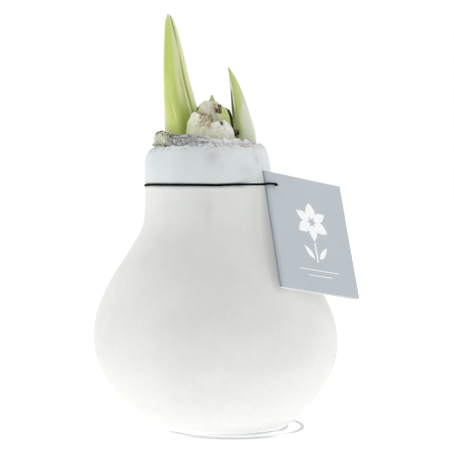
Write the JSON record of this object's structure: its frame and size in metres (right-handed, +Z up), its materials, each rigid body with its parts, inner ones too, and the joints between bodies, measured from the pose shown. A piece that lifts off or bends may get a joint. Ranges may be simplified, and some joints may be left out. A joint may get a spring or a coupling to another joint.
{
  "type": "amaryllis bulb",
  "caption": "Amaryllis bulb in a white velvet wax coat, sprouting from its trimmed nose, on a wire spiral stand, with a blank folded tag on an elastic round its neck.",
  "frame": {"origin": "on the table, on the underside of the stand's inner turn, under the middle of the bulb's base", "axes": "+Z up; +X to the right and +Y away from the viewer, seen from the front with the tag at the right"},
  "size_m": [0.1081, 0.1002, 0.1713],
  "materials": {
    "velvet_wax": "white wax with a fine flocked velvet surface",
    "bulb_flesh": "moist cream and greenish bulb scale, browned where cut",
    "dry_scale": "frayed, papery, purple-grey",
    "bud_green": "smooth waxy leaf with fine lengthwise veins",
    "leaf_green": "smooth leaf with a pale bloom",
    "cut_leaf": "yellow-green leaf, dried dark brown along its cut edges",
    "elastic": "round woven elastic, black",
    "tag_card": "uncoated grey-blue card with white print",
    "stand_wire": "bright drawn wire"
  },
  "bodies": {
    "root": {"wire_stand": "stand_wire", "wax_coat": "velvet_wax", "bulb": "bulb_flesh", "dry_scales": "dry_scale", "tall_shoot": "bud_green", "short_shoot": "leaf_green", "leaf_stump": "cut_leaf", "leaf_tip": "leaf_green", "elastic_cord": "elastic", "tag": "tag_card"}
  },
  "joints": []
}
